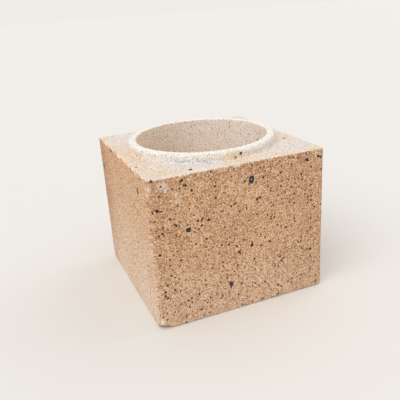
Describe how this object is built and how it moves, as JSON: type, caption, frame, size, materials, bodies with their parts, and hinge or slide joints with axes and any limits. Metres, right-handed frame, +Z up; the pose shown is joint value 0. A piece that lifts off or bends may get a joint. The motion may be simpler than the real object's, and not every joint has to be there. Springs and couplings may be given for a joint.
{
  "type": "refractory flue brick",
  "caption": "Square fireclay block with a round flue through it, a raised collar on top and a matching socket in its bed, stacked to build a chimney.",
  "frame": {"origin": "on the axis of the bore, at the level of the bed that the block stands on", "axes": "+Z up the flue, out of the collar; X and Y square to the sides"},
  "size_m": [0.24, 0.24, 0.212],
  "materials": {
    "fireclay": "matte, rough fired fireclay with grog and iron spots"
  },
  "bodies": {
    "root": {"flue_brick": "fireclay"}
  },
  "joints": []
}
